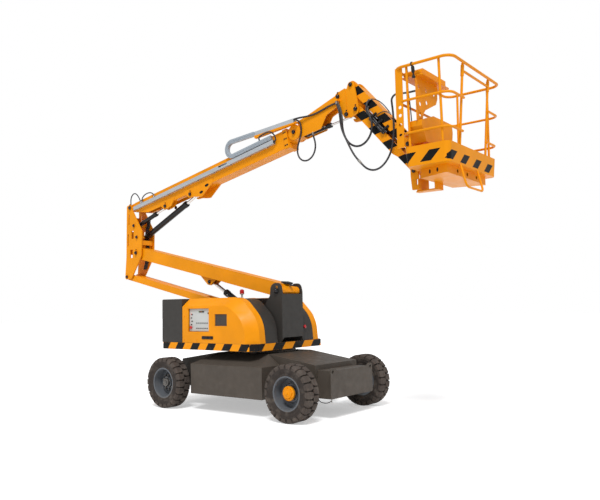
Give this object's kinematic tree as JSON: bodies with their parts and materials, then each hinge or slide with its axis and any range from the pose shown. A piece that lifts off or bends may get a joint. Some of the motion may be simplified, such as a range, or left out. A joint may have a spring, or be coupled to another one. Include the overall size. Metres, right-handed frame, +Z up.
{
  "type": "articulating boom lift",
  "caption": "Self-propelled work platform on wheels: slewing turntable with hoods, riser boom, telescopic upper boom, jib and guard-railed basket.",
  "frame": {"origin": "on the ground, below the middle of the machine's box", "axes": "+X towards the basket, +Y to the side away from the hood with the control panel, +Z up"},
  "size_m": [6.2117, 1.8124, 4.1796],
  "materials": {
    "chassis_grey": "satin paint",
    "dark_steel": "satin paint",
    "tyre_rubber": "matte",
    "rim_grey": "satin paint",
    "boom_orange": "gloss paint",
    "battery_grey": "matte",
    "panel_grey": "satin",
    "beacon_red": "gloss",
    "cylinder_black": "gloss paint",
    "rod_chrome": "polished",
    "tray_silver": "satin",
    "hose_rubber": "matte"
  },
  "bodies": {
    "chassis": {"chassis_frame": "chassis_grey", "bumpers": "chassis_grey", "axle_beams": "dark_steel"},
    "steer_near": {"knuckle_steer_near": "dark_steel"},
    "steer_far": {"knuckle_steer_far": "dark_steel"},
    "wheel_drive_near": {"tyre_drive_near": "tyre_rubber", "rim_drive_near": "rim_grey", "hub_cover_drive_near": "boom_orange"},
    "wheel_drive_far": {"tyre_drive_far": "tyre_rubber", "rim_drive_far": "rim_grey", "hub_cover_drive_far": "boom_orange"},
    "wheel_steer_near": {"tyre_steer_near": "tyre_rubber", "rim_steer_near": "rim_grey"},
    "wheel_steer_far": {"tyre_steer_far": "tyre_rubber", "rim_steer_far": "rim_grey"},
    "turntable": {"turntable_frame": "dark_steel", "tower": "dark_steel", "counterweight": "dark_steel", "cowls": "dark_steel", "inside_blocks": "battery_grey", "ground_panel": "panel_grey", "beacon": "beacon_red"},
    "hood_near": {"hood_near": "boom_orange"},
    "hood_far": {"hood_far": "boom_orange"},
    "lower_boom": {"lower_boom": "boom_orange"},
    "parallel_link": {"parallel_link": "boom_orange"},
    "knuckle": {"knuckle": "boom_orange"},
    "riser_barrel": {"riser_barrel": "cylinder_black"},
    "riser_rod": {"riser_rod": "rod_chrome"},
    "upper_boom": {"upper_boom": "boom_orange", "cable_tray": "tray_silver", "drag_chain": "hose_rubber", "boom_hoses": "hose_rubber", "hose_knuckle": "hose_rubber"},
    "level_barrel": {"level_barrel": "cylinder_black"},
    "level_rod": {"level_rod": "rod_chrome"},
    "lift_barrel": {"lift_barrel": "cylinder_black"},
    "lift_rod": {"lift_rod": "rod_chrome"},
    "fly": {"fly_boom": "boom_orange", "fly_tray": "tray_silver", "nose_hoses": "hose_rubber", "hose_nose": "hose_rubber"},
    "jib_head": {"jib_head": "boom_orange", "hose_jib": "hose_rubber", "hose_sling": "hose_rubber"},
    "slave_barrel": {"slave_barrel": "cylinder_black"},
    "slave_rod": {"slave_rod": "rod_chrome"},
    "jib_arm_low": {"jib_arm_low": "boom_orange", "jib_hoses": "hose_rubber"},
    "jib_arm_top": {"jib_arm_top": "boom_orange"},
    "jib_end": {"jib_end": "boom_orange", "hose_basket": "hose_rubber"},
    "jib_barrel": {"jib_barrel": "cylinder_black"},
    "jib_rod": {"jib_rod": "rod_chrome"},
    "basket": {"basket_floor": "boom_orange", "basket_rails": "boom_orange", "basket_cradle": "boom_orange", "console_post": "boom_orange", "hose_console": "hose_rubber"},
    "gate": {"gate_bar": "boom_orange"}
  },
  "joints": [
    {"name": "steer_near", "type": "hinge", "parent": "chassis", "child": "steer_near", "pos_m": [-1.228, -0.63, 0.344], "axis": [0, 0, 1], "range_deg": [-30, 30]},
    {"name": "steer_far", "type": "hinge", "parent": "chassis", "child": "steer_far", "pos_m": [-1.228, 0.63, 0.344], "axis": [0, 0, 1], "range_deg": [-30, 30]},
    {"name": "spin_drive_near", "type": "hinge", "parent": "chassis", "child": "wheel_drive_near", "pos_m": [0.972, -0.795, 0.344], "axis": [0, 1, 0], "continuous": true},
    {"name": "spin_drive_far", "type": "hinge", "parent": "chassis", "child": "wheel_drive_far", "pos_m": [0.972, 0.795, 0.344], "axis": [0, 1, 0], "continuous": true},
    {"name": "spin_steer_near", "type": "hinge", "parent": "steer_near", "child": "wheel_steer_near", "pos_m": [-1.228, -0.795, 0.344], "axis": [0, 1, 0], "continuous": true},
    {"name": "spin_steer_far", "type": "hinge", "parent": "steer_far", "child": "wheel_steer_far", "pos_m": [-1.228, 0.795, 0.344], "axis": [0, 1, 0], "continuous": true},
    {"name": "slew", "type": "hinge", "parent": "chassis", "child": "turntable", "pos_m": [-0.128, 0, 0.798], "axis": [0, 0, 1], "range_deg": [-177, 177]},
    {"name": "hood_near", "type": "hinge", "parent": "turntable", "child": "hood_near", "pos_m": [-0.128, -0.506, 1.49], "axis": [-1, 0, 0], "range_deg": [0, 60]},
    {"name": "hood_far", "type": "hinge", "parent": "turntable", "child": "hood_far", "pos_m": [-0.128, 0.506, 1.49], "axis": [1, 0, 0], "range_deg": [0, 60]},
    {"name": "riser", "type": "hinge", "parent": "turntable", "child": "lower_boom", "pos_m": [0.282, 0, 1.567], "axis": [0, 1, 0], "range_deg": [-19, 52]},
    {"name": "link", "type": "hinge", "parent": "turntable", "child": "parallel_link", "pos_m": [0.047, 0, 1.183], "axis": [0, 1, 0], "range_deg": [-19, 52]},
    {"name": "knuckle_level", "type": "hinge", "parent": "lower_boom", "child": "knuckle", "pos_m": [-2.81455, 0, 2.28189], "axis": [0, 1, 0], "range_deg": [-52, 19]},
    {"name": "riser_foot", "type": "hinge", "parent": "turntable", "child": "riser_barrel", "pos_m": [0.122, 0, 0.975], "axis": [0, 1, 0], "range_deg": [-16, 42.91]},
    {"name": "riser_stroke", "type": "slide", "parent": "riser_barrel", "child": "riser_rod", "axis": [-0.856, 0, 0.517], "range_m": [-0.1786, 0.48184]},
    {"name": "boom", "type": "hinge", "parent": "knuckle", "child": "upper_boom", "pos_m": [-2.98055, 0, 3.04689], "axis": [0, -1, 0], "range_deg": [-10.9, 64.1]},
    {"name": "level_foot", "type": "hinge", "parent": "knuckle", "child": "level_barrel", "pos_m": [-2.87455, 0, 2.73789], "axis": [0, -1, 0], "range_deg": [-10.02, 56.5]},
    {"name": "level_stroke", "type": "slide", "parent": "level_barrel", "child": "level_rod", "axis": [0.9496, 0, 0.3135], "range_m": [-0.05799, 0.32147]},
    {"name": "lift_foot", "type": "hinge", "parent": "knuckle", "child": "lift_barrel", "pos_m": [-2.79655, 0, 2.54089], "axis": [0, -1, 0], "range_deg": [-9.83, 55.35]},
    {"name": "lift_stroke", "type": "slide", "parent": "lift_barrel", "child": "lift_rod", "axis": [0.9125, 0, 0.4091], "range_m": [-0.09093, 0.51522]},
    {"name": "telescope", "type": "slide", "parent": "upper_boom", "child": "fly", "axis": [0.982, 0, 0.1891], "range_m": [0, 1.4]},
    {"name": "head_level", "type": "hinge", "parent": "fly", "child": "jib_head", "pos_m": [1.28119, 0, 4.01015], "axis": [0, -1, 0], "range_deg": [-64.1, 10.9]},
    {"name": "slave_foot", "type": "hinge", "parent": "fly", "child": "slave_barrel", "pos_m": [0.69087, 0, 3.6541], "axis": [0, -1, 0], "range_deg": [-1.31, 5.29]},
    {"name": "slave_stroke", "type": "slide", "parent": "slave_barrel", "child": "slave_rod", "axis": [0.9902, 0, 0.1393], "range_m": [-0.29554, 0.05358]},
    {"name": "jib", "type": "hinge", "parent": "jib_head", "child": "jib_arm_low", "pos_m": [1.54619, 0, 3.79715], "axis": [0, -1, 0], "range_deg": [-6, 119]},
    {"name": "jib_top", "type": "hinge", "parent": "jib_head", "child": "jib_arm_top", "pos_m": [1.48019, 0, 4.12415], "axis": [0, -1, 0], "range_deg": [-6, 119]},
    {"name": "jib_end_level", "type": "hinge", "parent": "jib_arm_low", "child": "jib_end", "pos_m": [2.32559, 0, 2.90055], "axis": [0, -1, 0], "range_deg": [-119, 6]},
    {"name": "jib_cylinder_foot", "type": "hinge", "parent": "jib_head", "child": "jib_barrel", "pos_m": [1.54619, 0, 3.79715], "axis": [0, -1, 0], "range_deg": [-6.55, 120.4]},
    {"name": "jib_cylinder_stroke", "type": "slide", "parent": "jib_barrel", "child": "jib_rod", "axis": [0.7815, 0, -0.6239], "range_m": [-0.03265, 0.57224]},
    {"name": "basket_turn", "type": "hinge", "parent": "jib_end", "child": "basket", "pos_m": [2.33709, 0, 2.83505], "axis": [0, 0, 1], "range_deg": [-68, 68]},
    {"name": "gate", "type": "slide", "parent": "basket", "child": "gate", "axis": [-0.0774, 0, -0.997], "range_m": [0, 0.2]}
  ],
  "couplings": [
    {"joint": "steer_far", "follows": "steer_near", "ratio": 1},
    {"joint": "link", "follows": "riser", "ratio": 1},
    {"joint": "knuckle_level", "follows": "riser", "ratio": -1},
    {"joint": "riser_foot", "follows": "riser", "ratio": 0.81563},
    {"joint": "riser_stroke", "follows": "riser", "m_per_rad": 0.52651},
    {"joint": "level_foot", "follows": "boom", "ratio": 0.87366},
    {"joint": "level_stroke", "follows": "boom", "m_per_rad": 0.28377},
    {"joint": "lift_foot", "follows": "boom", "ratio": 0.85566},
    {"joint": "lift_stroke", "follows": "boom", "m_per_rad": 0.45696},
    {"joint": "head_level", "follows": "boom", "ratio": -1},
    {"joint": "slave_foot", "follows": "boom", "ratio": 0.074692},
    {"joint": "slave_stroke", "follows": "boom", "m_per_rad": -0.26059},
    {"joint": "jib_top", "follows": "jib", "ratio": 1},
    {"joint": "jib_end_level", "follows": "jib", "ratio": -1},
    {"joint": "jib_cylinder_foot", "follows": "jib", "ratio": 1.0076},
    {"joint": "jib_cylinder_stroke", "follows": "jib", "m_per_rad": 0.2736}
  ]
}
